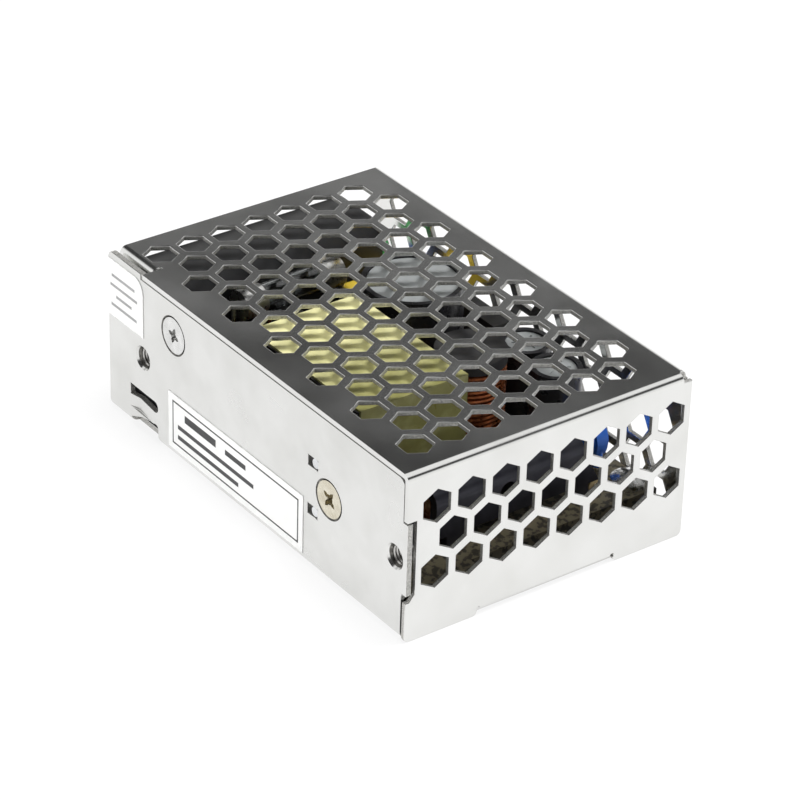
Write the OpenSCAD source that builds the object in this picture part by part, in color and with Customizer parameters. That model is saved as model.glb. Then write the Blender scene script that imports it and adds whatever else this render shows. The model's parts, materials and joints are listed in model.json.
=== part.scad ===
// Enclosed switching power supply in a two-piece folded sheet case.
// Corner frame used by every module: X runs from the terminal end to the perforated
// end, Y from the label side to the far side, Z up. place() then centres the case on
// the origin, which is the middle of its underside.

/* [Case] */
// Overall length, terminal end to perforated end
case_l = 78; // [76:1:90]
// Overall width
case_w = 51; // [50:1:60]
// Overall height
case_h = 28; // [28:1:34]
// Sheet thickness of the perforated cover
cover_t = 0.8; // [0.6:0.1:1]
// Sheet thickness of the chassis
chassis_t = 1; // [0.8:0.1:1.2]
// Outside radius of the cover's folds
cover_bend = 1.2; // [1:0.1:1.6]
// Outside radius of the chassis fold
chassis_bend = 1.6; // [1.3:0.1:2.2]
// Gap left between the edges of the two sheets
sheet_gap = 0.25; // [0.15:0.05:0.4]
// Set-back of the cover's end from the terminal end of the chassis
cover_setback = 0.3; // [0:0.1:1]

/* [Perforation] */
// Hexagonal hole, across the flats
hex_af = 4.8; // [3.5:0.1:5]
// Spacing of the holes along a row
hex_pitch = 6.05; // [6:0.05:7]
// Spacing of the rows
hex_row = 5.47; // [5.4:0.05:6.5]
// Least solid margin round the holes of the top
top_margin = 5.6; // [5:0.1:8]
// Least solid margin at the sides of the end plate
end_margin = 4; // [3.6:0.1:7]
// Height of the end plate's top row below the top
end_row_drop = 6.5; // [5.5:0.1:8]
// Height of the far wall's top row below the top
far_row_drop = 4.5; // [4.3:0.1:6]
// Height of the solid foot of the end plate
wall_foot = 7; // [5:0.5:9]
// Height of the solid foot of the far wall
far_foot = 2.6; // [2.4:0.1:5]

/* [Cover tab] */
// Width of the folded tab beside the terminals
tab_w = 9.2; // [7:0.1:11]
// Depth of the tab's outer face behind the label side
tab_inset = 1.9; // [1.8:0.1:2.4]
// Lower edge of the tab, measured from the top
tab_drop = 11; // [9:0.5:13]
// Width of the slit that frees the tab
tab_slit = 0.35; // [0.3:0.05:0.6]

/* [Side wall] */
// Cover screw, distance from the terminal end
cover_screw_x = 18.2; // [17:0.1:22]
// Cover screw, distance below the top
cover_screw_drop = 6.5; // [6:0.1:8]
// Heat spreader screw, distance from the perforated end
clamp_screw_x = 18.9; // [17:0.1:20]
// Height of the heat spreader screw
clamp_screw_z = 14.2; // [13.5:0.1:15]
// Threaded side holes, distance of the first from the terminal end
side_hole_x = 9.6; // [8:0.1:12]
// Threaded side holes, distance of the second from the perforated end
side_hole_end = 2.8; // [2.7:0.1:5]
// Height of the threaded side holes
side_hole_z = 13.4; // [12:0.1:15]
// Length of the locking step in the end plate's edge
step_l = 12.4; // [10:0.1:14]
// Upper end of the locking step, below the top
step_drop = 7.8; // [7:0.1:9]
// Depth of the locking step
step_d = 1.7; // [1.5:0.1:2]
// Length of the lanced bridge's slots
lance_l = 7.8; // [6:0.1:9]
// Start of the lanced bridge, from the terminal end
lance_x = 5.9; // [4:0.1:7]

/* [Screws and threads] */
// Radius of a threaded bore for the case screws
thread_r = 1.5; // [1.4:0.05:1.6]
// Clearance between a screw's shank and its bore
screw_fit = 0.05; // [0.03:0.01:0.1]
// Radius of a countersunk head
sink_head_r = 2.95; // [2.8:0.05:3.4]
// Radial gap between a countersunk head and its dimple
sink_gap = 0.33; // [0.2:0.01:0.4]
// Length of the countersunk screws
sink_screw_l = 6; // [5:0.5:8]
// Height of a drawn thread collar on the inside of a sheet
collar_h = 1.4; // [1:0.1:2]

/* [Circuit board] */
// Height of the board's underside
board_z = 5; // [4.6:0.1:6]
// Board thickness
board_t = 1.6; // [1.2:0.1:1.8]
// Gap round the board to the case walls
board_gap = 0.9; // [0.8:0.05:1]
// Clearance of a lead in its board hole
lead_fit = 0.15; // [0.1:0.05:0.25]
// Length of lead that stands out below the board
lead_tail = 1.4; // [1:0.1:1.6]

/* [Terminal block] */
// Number of terminals
poles = 5; // [3:1:5]
// Spacing of the terminals
pole_pitch = 7.62; // [7:0.01:7.7]
// Depth of the block along the case
block_d = 12.4; // [11.5:0.1:12.8]
// Thickness of the barriers between terminals
barrier_t = 1.4; // [1.2:0.1:1.6]
// Depth of the open cells
cell_d = 5.8; // [5.4:0.1:6.2]
// Radius of a terminal screw's head
head_r = 2.8; // [2.5:0.1:2.9]
// Thickness of a terminal screw's head
head_t = 2.2; // [1.8:0.1:2.4]
// Side of a square clamp washer
washer_w = 5.8; // [5:0.1:5.9]
// Thickness of a clamp washer
washer_t = 1; // [0.8:0.1:1.2]

/* [Large components] */
// Clearance between the tallest parts and the cover
tall_clear = 1.6; // [1.2:0.1:4]
// Transformer core, length along the case
core_l = 27.5; // [24:0.5:28]
// Transformer core, width across the case
core_w = 19.8; // [16:0.2:20.4]
// Thickness of the tape round the core
tape_t = 0.35; // [0.2:0.05:0.5]
// Bulk capacitor radius over its sleeve
bulk_r = 8; // [7:0.1:8]
// Thickness of the capacitor sleeves
sleeve_t = 0.2; // [0.15:0.05:0.3]
// Output capacitor radius
output_r = 4; // [3:0.1:4]
// Output capacitor height
output_h = 13; // [10:0.5:16]
// Output choke radius
choke_r = 5.6; // [4.5:0.1:5.7]
// Output choke height
choke_h = 15.5; // [12:0.5:16.5]
// Height of the black output heat sink above the board
sink_h = 10; // [8:0.5:14]
// Sheet thickness of the heat sinks
sink_t = 1.5; // [1:0.1:1.8]

/* [Labels] */
// Thickness of the printed labels
label_t = 0.1; // [0.08:0.01:0.15]
// Length of the nameplate label
name_l = 35.9; // [30:0.1:36.2]
// Height of the nameplate label
name_h = 9.8; // [8:0.1:10]
// Length of the seal label
seal_l = 9.8; // [8:0.2:10]
// Height of the seal label
seal_h = 9.8; // [8:0.2:10]

/* [Hidden] */
$fn = 48;
eps = 0.01;
board_top = board_z + board_t;
end_x = case_l - cover_t;
far_y = case_w - cover_t;
wall_top = case_h - cover_t - sheet_gap;
hex_r = hex_af / sqrt(3);
dimple_r = sink_head_r + sink_gap;
boss_r = dimple_r + 0.5;
shank_r = thread_r - screw_fit;
tall_h = case_h - cover_t - tall_clear - board_top;

module place() translate([-case_l / 2, (label_t - case_w) / 2, 0]) children();

// ---- sheet metal helpers ----

// A flat sheet standing across Y, drawn in X and Z, its outer face at y = 0
module sheet_xz(t) translate([0, t, 0]) rotate([90, 0, 0]) linear_extrude(t) children();

// A flat sheet standing across X, drawn in Z and Y, filling x from -t to 0
module sheet_zy(t) rotate([0, -90, 0]) linear_extrude(t) children();

// A quarter-round fold along Z, its legs leaving at the X and Y axes
module fold(r, t, len) intersection() {
    difference() {
        cylinder(r = r, h = len);
        translate([0, 0, -eps]) cylinder(r = r - t, h = len + 2 * eps);
    }
    cube([r, r, len]);
}

module fold_along_x(r, t, len) rotate([90, 0, 90]) fold(r, t, len);
module fold_along_y(r, t, len) translate([0, len, 0]) rotate([90, 0, 0]) fold(r, t, len);

// Rod along +Y, used for everything that crosses the label-side wall
module rod_y(r, h) rotate([-90, 0, 0]) cylinder(r = r, h = h);
module cone_y(r1, r2, h) rotate([-90, 0, 0]) cylinder(r1 = r1, r2 = r2, h = h);
// Rod along +X, used for the terminals and the trimmer
module rod_x(r, h) rotate([0, 90, 0]) cylinder(r = r, h = h);

// Centres of a staggered hole pattern; odd rows are shifted by half a pitch
function pattern(rows, even_n, odd_n) = [
    for (r = [0 : rows - 1])
        for (c = [0 : (r % 2 == 0 ? even_n : odd_n) - 1])
            [r * hex_row, (c + (r % 2) / 2) * hex_pitch]
];

module hex_holes(rows, even_n, odd_n)
    for (p = pattern(rows, even_n, odd_n)) translate(p) circle(r = hex_r, $fn = 6);

function fit_count(span, step) = floor(span / step + eps) + 1;

top_rows = fit_count(case_l - 2 * top_margin, hex_row);
top_holes = fit_count(case_w - 2 * top_margin - hex_pitch / 2, hex_pitch);
top_x0 = (case_l - (top_rows - 1) * hex_row) / 2 - 0.5;
top_y0 = (case_w - (top_holes - 0.5) * hex_pitch) / 2 + 0.1;
end_holes = fit_count(case_w - 2 * end_margin, hex_pitch);
end_y0 = (case_w - (end_holes - 1) * hex_pitch) / 2 + 0.8;
end_rows = fit_count(case_h - end_row_drop - wall_foot - hex_r, hex_row);
far_x0 = top_x0 + 1.2;
far_cols = fit_count(case_l - far_x0 - hex_r - 2.4, hex_row);
far_even = fit_count(case_h - far_row_drop - far_foot - hex_af / 2, hex_pitch);
far_odd = fit_count(case_h - far_row_drop - far_foot - (hex_af + hex_pitch) / 2, hex_pitch);

// ---- case ----

// Drawn thread collar with a rounded lead-in, entered along +Y from the outer face
collar_r = thread_r + 0.4;
module side_thread_cut() {
    translate([0, -eps, 0]) rod_y(thread_r, chassis_t + collar_h + 2 * eps);
    translate([0, -eps, 0]) cone_y(collar_r + 0.15, thread_r, 0.75);
}

// Inward dimple that lets a countersunk head lie flush in the thin wall
module dimple_boss() translate([0, chassis_t - eps, 0])
    cone_y(boss_r, thread_r + 1.2, tab_inset - chassis_t + eps);
module dimple_cut() {
    translate([0, -eps, 0]) cone_y(dimple_r, thread_r + 0.2, tab_inset - 0.2);
    translate([0, -eps, 0]) rod_y(thread_r + 0.2, tab_inset + 2 * eps);
}

cover_screw_z = case_h - cover_screw_drop;
spreader_x = case_l - clamp_screw_x;
side_holes = [side_hole_x, case_l - side_hole_end];
base_hole_inset = 11.5;
base_holes = [[base_hole_inset, case_w / 2], [case_l - base_hole_inset, case_w / 2]];
dowel_offset = 4.1;
step_top = case_h - step_drop;
step_bottom = step_top - step_l;
hook_w = 8;
hook_xs = [case_l * 0.25, case_l * 0.7];
foot_rise = 1.1;
foot_w = 13;
foot_round = 0.8;
foot_relief_r = 0.35;
spreader_slot = [2.6, 1.75];
lance_top = 7.25;
slot_h = 1.9;
strap_h = 2.1;
strap_in = 0.4;
strap_slope = 2.2;
strap_crease = 0.15;
lower_slot_h = lance_top - slot_h - strap_h;
lower_slot_r = 0.6;
tab_top_r = 1;

// Outline of the label-side wall above its fold, with the locking tab at the end plate
module side_wall_outline() {
    difference() {
        union() {
            hull() {
                translate([0, chassis_bend]) square([tab_w, eps]);
                translate([tab_top_r, case_h - tab_top_r - 0.1]) circle(tab_top_r);
                translate([tab_w - 0.4, case_h - 0.1 - eps]) square([0.4, eps]);
            }
            hull() {
                translate([tab_w / 2, chassis_bend]) square([end_x - sheet_gap - tab_w / 2, eps]);
                translate([tab_w / 2, wall_top - eps]) square([eps, eps]);
                translate([end_x - sheet_gap - 1, wall_top - 1]) circle(1);
            }
            translate([end_x - 2, step_bottom + sheet_gap])
                square([2 + cover_t, step_l - 2 * sheet_gap]);
        }
        for (s = [-1, 1])
            translate([spreader_x - dowel_offset, clamp_screw_z + s * dowel_offset])
                square(spreader_slot, center = true);
    }
}

// Slots above and below a strap that is pressed inwards; the lower one opens the fold
module upper_slot() hull() {
    square([eps, slot_h]);
    translate([lance_l - slot_h / 2, slot_h / 2]) circle(slot_h / 2);
}
module lower_slot() hull() {
    translate([0, -eps]) square([lance_l, eps]);
    square([eps, lower_slot_h * 0.37]);
    translate([lance_l * 0.42, 0]) square([eps, lower_slot_h * 0.8]);
    translate([lance_l - lower_slot_r, lower_slot_h - lower_slot_r]) circle(lower_slot_r);
}
module lance_cut() {
    translate([lance_x, -eps, lance_top - slot_h]) sheet_xz(chassis_t + strap_in + 2 * eps) upper_slot();
    translate([lance_x, -eps, 0]) sheet_xz(chassis_bend) lower_slot();
    strap_bump(0, -eps);
}
module strap_bump(y, back) translate([lance_x, y, lower_slot_h - strap_crease])
    linear_extrude(strap_h + strap_crease) polygon([[0, 0], [strap_slope, strap_in],
        [lance_l - slot_h / 2, 0], [lance_l - slot_h / 2, back], [0, back]]);

module chassis() color([0.86, 0.86, 0.85]) place() {
    difference() {
        union() {
            sheet_xz(chassis_t) side_wall_outline();
            translate([0, chassis_bend, chassis_bend]) rotate([180, 0, 0])
                fold_along_x(chassis_bend, chassis_t, end_x - sheet_gap);
            translate([0, chassis_bend, 0])
                cube([end_x - sheet_gap, far_y - sheet_gap - chassis_bend, chassis_t]);
            for (x = hook_xs)
                translate([x - hook_w / 2, far_y - sheet_gap - eps, 0])
                    cube([hook_w, cover_t + sheet_gap + eps, chassis_t]);
            for (x = side_holes) translate([x, chassis_t - eps, side_hole_z])
                rod_y(collar_r, collar_h + eps);
            for (p = base_holes) translate([p[0], p[1], chassis_t - eps])
                cylinder(r = collar_r, h = collar_h + eps);
            for (p = [[cover_screw_x, cover_screw_z], [spreader_x, clamp_screw_z]])
                translate([p[0], 0, p[1]]) dimple_boss();
            strap_bump(chassis_t, -eps);
        }
        for (x = side_holes) translate([x, 0, side_hole_z]) side_thread_cut();
        for (p = base_holes) translate([p[0], p[1], -eps]) {
            cylinder(r = thread_r, h = chassis_t + collar_h + 2 * eps);
            cylinder(r1 = collar_r + 0.15, r2 = thread_r, h = 0.75);
        }
        for (p = [[cover_screw_x, cover_screw_z], [spreader_x, clamp_screw_z]])
            translate([p[0], 0, p[1]]) dimple_cut();
        lance_cut();
    }
}

module cover_top_outline() difference() {
    translate([cover_setback, 0])
        square([case_l - cover_bend - cover_setback, case_w - cover_bend]);
    translate([cover_setback - eps, -eps])
        square([tab_w - cover_setback + eps, tab_inset + cover_bend + eps]);
    translate([tab_w - eps, -eps])
        square([tab_slit + eps, tab_inset + cover_bend + 0.6]);
    translate([top_x0, top_y0]) hex_holes(top_rows, top_holes, top_holes);
}

// Recess between the end plate's feet, in Z and Y, relieved at its inner corners
module foot_notch() {
    translate([-eps, foot_w]) square([foot_rise + eps, case_w - 2 * foot_w]);
    for (m = [0, 1]) translate([0, m * case_w]) mirror([0, m]) {
        translate([foot_rise, foot_w + foot_relief_r / 2]) circle(foot_relief_r);
        difference() {
            translate([-eps, foot_w - foot_round]) square([foot_round, foot_round + eps]);
            translate([foot_round, foot_w - foot_round]) circle(foot_round);
        }
    }
}

// Drawn in Z and Y; the near edge steps back round the chassis's locking tab
module end_plate_outline() difference() {
    hull() {
        translate([case_h - cover_bend - eps, 0]) square([eps, case_w]);
        for (y = [1, case_w - 1]) translate([1, y]) circle(1);
    }
    translate([step_bottom, -eps]) square([step_l, step_d + eps]);
    polygon([[step_bottom + eps, -eps], [step_bottom + eps, step_d],
        [step_bottom - 1, step_d - 1], [step_bottom - 1, -eps]]);
    foot_notch();
    translate([case_h - end_row_drop - (end_rows - 1) * hex_row, end_y0])
        hex_holes(end_rows, end_holes, end_holes - 1);
}

module far_wall_outline() difference() {
    translate([cover_setback, 0])
        square([end_x - sheet_gap - cover_setback, case_h - cover_bend]);
    for (x = hook_xs) translate([x - hook_w / 2 - sheet_gap, -eps])
        square([hook_w + 2 * sheet_gap, chassis_t + sheet_gap]);
    translate([far_x0, case_h - far_row_drop]) mirror([0, 1])
        hex_holes(far_cols, far_even, far_odd);
}

module cover_tab_outline() union() {
    translate([cover_setback, case_h - tab_drop])
        square([tab_w - cover_setback, tab_drop - cover_bend]);
    translate([cover_setback, case_h - tab_drop])
        square([cover_screw_x + 5 - cover_setback, tab_drop - cover_bend - 1.5]);
}

module cover() color([0.8, 0.8, 0.79]) place() difference() {
    union() {
        translate([0, 0, case_h - cover_t]) linear_extrude(cover_t) cover_top_outline();
        translate([case_l, 0, 0]) sheet_zy(cover_t) end_plate_outline();
        translate([0, far_y, 0]) sheet_xz(cover_t) far_wall_outline();
        translate([0, tab_inset, 0]) sheet_xz(cover_t) cover_tab_outline();
        translate([case_l - cover_bend, 0, case_h - cover_bend])
            fold_along_y(cover_bend, cover_t, case_w - cover_bend - 0.3);
        translate([cover_setback, case_w - cover_bend, case_h - cover_bend])
            fold_along_x(cover_bend, cover_t, case_l - cover_bend - cover_setback - 0.3);
        translate([cover_setback, tab_inset + cover_bend, case_h - cover_bend])
            mirror([0, 1, 0])
                fold_along_x(cover_bend, cover_t, tab_w - cover_setback);
        translate([cover_screw_x, tab_inset + cover_t - eps, cover_screw_z])
            rod_y(collar_r, collar_h + eps);
    }
    translate([cover_screw_x, tab_inset - eps, cover_screw_z])
        rod_y(thread_r, cover_t + collar_h + 2 * eps);
}

// One pointed arm pair of a cross recess, drawn in X and Z
module cross_arm(span) polygon([[-span / 2, 0], [-span / 3, -0.36], [span / 3, -0.36],
    [span / 2, 0], [span / 3, 0.36], [-span / 3, 0.36]]);

// Countersunk screw with a cross recess, lying along +Y with its head face at y = 0
module sink_screw(cross_span) difference() {
    union() {
        cone_y(sink_head_r, shank_r, sink_head_r - shank_r);
        rod_y(shank_r, sink_screw_l - 0.5);
        translate([0, sink_screw_l - 0.5, 0]) cone_y(shank_r, shank_r - 0.4, 0.5);
    }
    for (a = [0, 90]) rotate([0, a, 0]) translate([0, -eps, 0])
        sheet_xz(0.9) cross_arm(cross_span);
    translate([0, -eps, 0]) cone_y(cross_span / 4, 0.3, 1.6);
}
module cover_screw() color([0.9, 0.9, 0.88]) place()
    translate([cover_screw_x, 0.05, cover_screw_z]) rotate([0, 15, 0]) sink_screw(2.8);
module spreader_screw() color([0.88, 0.86, 0.78]) place()
    translate([spreader_x, 0.05, clamp_screw_z]) rotate([0, 35, 0]) sink_screw(3.4);

// ---- parts fixed to the label-side wall ----

spreader_l = 23;
spreader_h = 14.6;
spreader_x0 = case_l - 4 - spreader_l;
spreader_z0 = board_top + 0.9;
dowel_r = 0.8;
dowel_shift = 0.45;
dowel_y = 0.2;
module spreader_outline() difference() {
    translate([spreader_x0, spreader_z0]) square([spreader_l, spreader_h]);
    translate([side_holes[1], side_hole_z]) circle(collar_r + 1);
}
module heat_spreader() color([0.75, 0.76, 0.77]) place() difference() {
    union() {
        translate([0, tab_inset, 0]) sheet_xz(sink_t) spreader_outline();
        for (s = [-1, 1])
            translate([spreader_x - dowel_offset + dowel_shift, dowel_y,
                clamp_screw_z + s * dowel_offset]) rod_y(dowel_r, tab_inset - dowel_y + eps);
    }
    translate([spreader_x, tab_inset - eps, clamp_screw_z]) rod_y(thread_r, sink_t + 1);
}
module thermal_pad() color([0.8, 0.62, 0.6]) place() difference() {
    translate([0, chassis_t, 0]) sheet_xz(tab_inset - chassis_t) spreader_outline();
    translate([spreader_x, chassis_t - eps, clamp_screw_z])
        rod_y(boss_r + 0.2, tab_inset - chassis_t + 2 * eps);
    for (s = [-1, 1])
        translate([spreader_x - dowel_offset + dowel_shift, chassis_t - eps,
            clamp_screw_z + s * dowel_offset])
            rod_y(dowel_r + 0.3, tab_inset - chassis_t + 2 * eps);
}

// Moulded power transistor flat on the heat spreader, its legs down to the board
transistor = [10, 4.4, 11];
transistor_in = 16.7;
transistor_lift = 3.4;
transistor_at = [case_l - transistor_in, tab_inset + sink_t, board_top + transistor_lift];
package_hole_r = 1.6;
package_hole_drop = 2.8;
module power_transistor() color([0.12, 0.12, 0.13]) place()
    translate(transistor_at) difference() {
        cube(transistor);
        translate([transistor[0] / 2, -eps, transistor[2] - package_hole_drop])
            rod_y(package_hole_r, transistor[1] + 1);
        translate([-eps, transistor[1], transistor[2] - 1]) rotate([45, 0, 0])
            cube([transistor[0] + 1, 2, 2]);
    }

// ---- board and what carries it ----

board_x0 = cover_setback + 0.7;
board_end = case_l - 4.2;
board_lug_end = case_l - 1.6;
board_lug_y = 14.8;
board_y0 = chassis_t + board_gap;
board_y1 = far_y - board_gap;
spacer_pts = [[17.2, 4.3], [22.6, case_w - 4.4], [case_l - 18.6, 35], [case_l - 7.5, case_w - 4.4]];
spacer_r = 2.6;
film_t = 0.2;
board_screw_l = 5;

film_x0 = 1;
film_l = end_x - 3;
flap_y = chassis_t + strap_in + 0.12;
flap_top = board_top + 0.6;
film_fold = 0.9;
// Film under the board, its edge turned up between the board and the label-side wall
module insulation_sheet() color([0.15, 0.15, 0.16]) place() difference() {
    translate([film_x0, 0, 0]) rotate([90, 0, 90]) linear_extrude(film_l) polygon([
        [far_y - 1.2, chassis_t], [far_y - 1.2, chassis_t + film_t],
        [flap_y + film_fold + film_t / 2, chassis_t + film_t],
        [flap_y + film_t, chassis_t + film_fold + film_t / 2], [flap_y + film_t, flap_top],
        [flap_y, flap_top], [flap_y, chassis_t + film_fold], [flap_y + film_fold, chassis_t]]);
    for (p = base_holes) translate([p[0], p[1], 0]) cylinder(r = collar_r + 0.4, h = case_h);
    for (p = spacer_pts) translate([p[0], p[1], 0]) cylinder(r = spacer_r + 0.4, h = case_h);
}
module board_spacers() color([0.8, 0.7, 0.4]) place()
    for (p = spacer_pts) translate([p[0], p[1], chassis_t]) difference() {
        cylinder(r = spacer_r, h = board_z - chassis_t, $fn = 6);
        translate([0, 0, board_z - chassis_t - board_screw_l + board_t + 0.6])
            cylinder(r = thread_r, h = board_screw_l);
    }
module board_screws() color([0.82, 0.82, 0.8]) place()
    for (p = spacer_pts) translate([p[0], p[1], board_top]) difference() {
        union() {
            intersection() {
                cylinder(r = head_r, h = 1.9);
                translate([0, 0, -3]) sphere(r = 5);
            }
            translate([0, 0, 1 - board_screw_l]) cylinder(r = shank_r, h = board_screw_l - 1 + eps);
        }
        for (a = [0, 90]) rotate([0, 0, a]) translate([-1.5, -0.35, 1]) cube([3, 0.7, 1]);
    }

module board_outline() difference() {
    union() {
        translate([board_x0, board_y0]) square([board_end - board_x0, board_y1 - board_y0]);
        translate([board_x0, board_y0])
            square([board_lug_end - board_x0, board_lug_y - board_y0]);
    }
    for (p = spacer_pts) translate(p) circle(thread_r + 0.15);
    for (p = all_leads) translate([p[0], p[1]]) circle(p[2] + lead_fit);
    for (i = [0 : poles - 1]) translate([contact_x, pole_y(i)]) circle(contact_leg_r + lead_fit);
}
module circuit_board() color([0.62, 0.52, 0.34]) place()
    translate([0, 0, board_z]) linear_extrude(board_t) board_outline();

// ---- terminal block ----

block_x0 = 0.6;
block_y0 = 3;
block_w = poles * pole_pitch + barrier_t;
cell_back = block_x0 + cell_d;
block_h = tall_h;
shelf_h = 5;
roof_t = 1.5;
terminal_z = board_top + shelf_h + washer_w / 2 + 0.5;
contact_t = 1;
contact_w = 5.6;
contact_x = cell_back - contact_t / 2;
contact_leg_w = 1.2;
contact_leg_r = norm([contact_t - 0.2, contact_leg_w]) / 2;
screw_reach = 7;
function pole_y(i) = block_y0 + barrier_t / 2 + (i + 0.5) * pole_pitch;

module terminal_body() color([0.1, 0.1, 0.11]) place() difference() {
    translate([block_x0, block_y0, board_top]) {
        difference() {
            cube([block_d, block_w, block_h]);
            // sloping top edge at the back, as moulded
            translate([block_d, -eps, block_h - 2]) rotate([0, -45, 0])
                cube([4, block_w + 2 * eps, 4]);
            // the roof's front edge is chamfered
            translate([-eps, -eps, block_h]) rotate([0, 45, 0])
                translate([-0.6, 0, -0.6]) cube([1.2, block_w + 2 * eps, 1.2]);
            for (i = [0 : poles - 1])
                translate([-eps, barrier_t + i * pole_pitch, shelf_h])
                    cube([cell_d + eps, pole_pitch - barrier_t, block_h - shelf_h - roof_t]);
        }
    }
    for (i = [0 : poles - 1]) {
        translate([cell_back - eps, pole_y(i), terminal_z]) rod_x(shank_r + 0.5, 5.4);
        translate([contact_x, pole_y(i), 0]) cylinder(r = contact_leg_r + 0.1, h = board_top + shelf_h + 1);
    }
}
module terminal_contacts() color([0.8, 0.78, 0.72]) place()
    for (i = [0 : poles - 1]) difference() {
        union() {
            translate([cell_back - contact_t, pole_y(i) - contact_w / 2, board_top + shelf_h])
                cube([contact_t, contact_w, washer_w + 1.5]);
            translate([contact_x - contact_t / 2 + 0.1, pole_y(i) - contact_leg_w / 2,
                board_z - lead_tail])
                cube([contact_t - 0.2, contact_leg_w, board_t + lead_tail + shelf_h + eps]);
        }
        translate([0, pole_y(i), terminal_z]) rod_x(thread_r, cell_back + 1);
    }

washer_x = cell_back - contact_t - washer_t;
module clamp_washer(i) color([0.84, 0.83, 0.78]) place()
    translate([washer_x, pole_y(i), terminal_z]) difference() {
        translate([0, -washer_w / 2, -washer_w / 2]) cube([washer_t, washer_w, washer_w]);
        translate([-eps, 0, 0]) rod_x(thread_r, washer_t + 2 * eps);
        // two ribs' worth of grip on the side edges
        for (s = [-1, 1]) translate([washer_t - 0.3, s * washer_w / 4 - 0.25, -washer_w / 2 - eps])
            cube([0.3 + eps, 0.5, washer_w + 2 * eps]);
    }
module terminal_screw(i) color([0.86, 0.85, 0.8]) place()
    translate([washer_x, pole_y(i), terminal_z]) difference() {
        union() {
            translate([-head_t, 0, 0]) intersection() {
                rod_x(head_r, head_t);
                translate([5.6, 0, 0]) sphere(r = 6);
            }
            translate([-eps, 0, 0]) rod_x(shank_r, screw_reach - 1 + eps);
            translate([screw_reach - 1, 0, 0]) rotate([0, 90, 0])
                cylinder(r1 = shank_r, r2 = shank_r - 0.5, h = 1);
        }
        translate([-head_t - 1, -0.4, -head_r]) cube([2.1, 0.8, 2 * head_r]);
        translate([-head_t - 1, -1.6, -0.4]) cube([2.3, 3.2, 0.8]);
    }

// ---- adjustment and indicator beside the terminals ----

pot_w = 6.2;
pot_d = 5;
pot_h = 6.6;
pot_x = 1.6;
pot_y = block_y0 + block_w + 0.5;
rotor_r = 1.9;
rotor_d = 1.8;
rotor_fit = 0.06;
module trimmer_body() color([0.16, 0.3, 0.55]) place()
    translate([pot_x, pot_y, board_top]) difference() {
        union() {
            cube([pot_d, pot_w, pot_h]);
            for (y = [0.3, pot_w - 1.3]) translate([0.5, y, pot_h]) cube([pot_d - 1, 1, 0.4]);
        }
        translate([-eps, pot_w / 2, pot_h / 2]) rod_x(rotor_r + rotor_fit, rotor_d + rotor_fit);
    }
module trimmer_rotor() color([0.93, 0.93, 0.9]) place()
    translate([pot_x - 0.3, pot_y + pot_w / 2, board_top + pot_h / 2]) difference() {
        rod_x(rotor_r, rotor_d + 0.3);
        translate([-eps, -0.35, -rotor_r - eps]) cube([0.8, 0.7, 2 * rotor_r + 2 * eps]);
        translate([-eps, -1.1, -0.35]) cube([0.8, 2.2, 0.7]);
        translate([-eps, 0, 1.35]) rod_x(0.25, 0.4);
    }

led_z = board_top + 11;
led_y = pot_y + pot_w / 2;
led_x = 1.8;
module indicator_led() color([0.3, 0.8, 0.35]) place() translate([led_x, led_y, led_z]) {
    translate([1.5, 0, 0]) {
        rod_x(1.5, 3);
        intersection() {
            sphere(r = 1.5);
            translate([-1.5, -1.5, -1.5]) cube([1.5 + eps, 3, 3]);
        }
        translate([3 - eps, 0, 0]) rod_x(1.9, 0.9);
    }
}

// ---- mains side ----

// Glass fuse in a clear sleeve, set askew on tall wire legs
fuse_r = 2.5;
fuse_l = 19;
fuse_cap_l = 4;
fuse_c = [16.1, 22.4];
fuse_clear = 2.8;
fuse_z = case_h - cover_t - fuse_clear - fuse_r;
fuse_turn = 3;
module fuse_place() translate([fuse_c[0], fuse_c[1], fuse_z]) rotate([0, 0, fuse_turn]) children();
fuse_leg = fuse_l / 2 + 1;
function fuse_end(s) = [fuse_c[0] - s * fuse_leg * sin(fuse_turn), fuse_c[1] + s * fuse_leg * cos(fuse_turn)];
module fuse_glass() color([0.85, 0.9, 0.92, 0.5]) place() fuse_place()
    translate([0, -fuse_l / 2 + 0.6, 0]) difference() {
        rod_y(fuse_r - 0.25, fuse_l - 1.2);
        translate([0, -eps, 0]) rod_y(fuse_r - 0.75, fuse_l);
    }
module fuse_caps() color([0.85, 0.85, 0.83]) place() fuse_place()
    for (s = [0, 180]) rotate([0, 0, s]) translate([0, fuse_l / 2 - fuse_cap_l, 0]) difference() {
        rod_y(fuse_r, fuse_cap_l);
        translate([0, -eps, 0]) rod_y(fuse_r - 0.22, fuse_cap_l - 0.6 + eps);
    }

// Dipped disc standing on two short runs of its coating, its faces across Y
foot_at = 2.5;
foot_r = 0.8;
module disc(r, t) {
    translate([0, t / 2, 0]) rotate([90, 0, 0]) cylinder(r = r - 0.5, h = t);
    translate([0, t / 2 - 0.5, 0]) rotate([90, 0, 0]) cylinder(r = r, h = t - 1);
    for (x = [-foot_at, foot_at]) translate([x, 0, -r - disc_foot]) cylinder(r = foot_r, h = r);
}
disc_foot = 0.5;
disc_lift = 1;
thermistor_r = 4.2;
thermistor_t = 3.4;
thermistor_c = [19.6, 11.4];
thermistor_z = board_top + disc_lift + disc_foot + thermistor_r;
module inrush_thermistor() color([0.1, 0.16, 0.12]) place()
    translate([thermistor_c[0], thermistor_c[1], thermistor_z])
        rotate([0, 0, 90]) disc(thermistor_r, thermistor_t);

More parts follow.
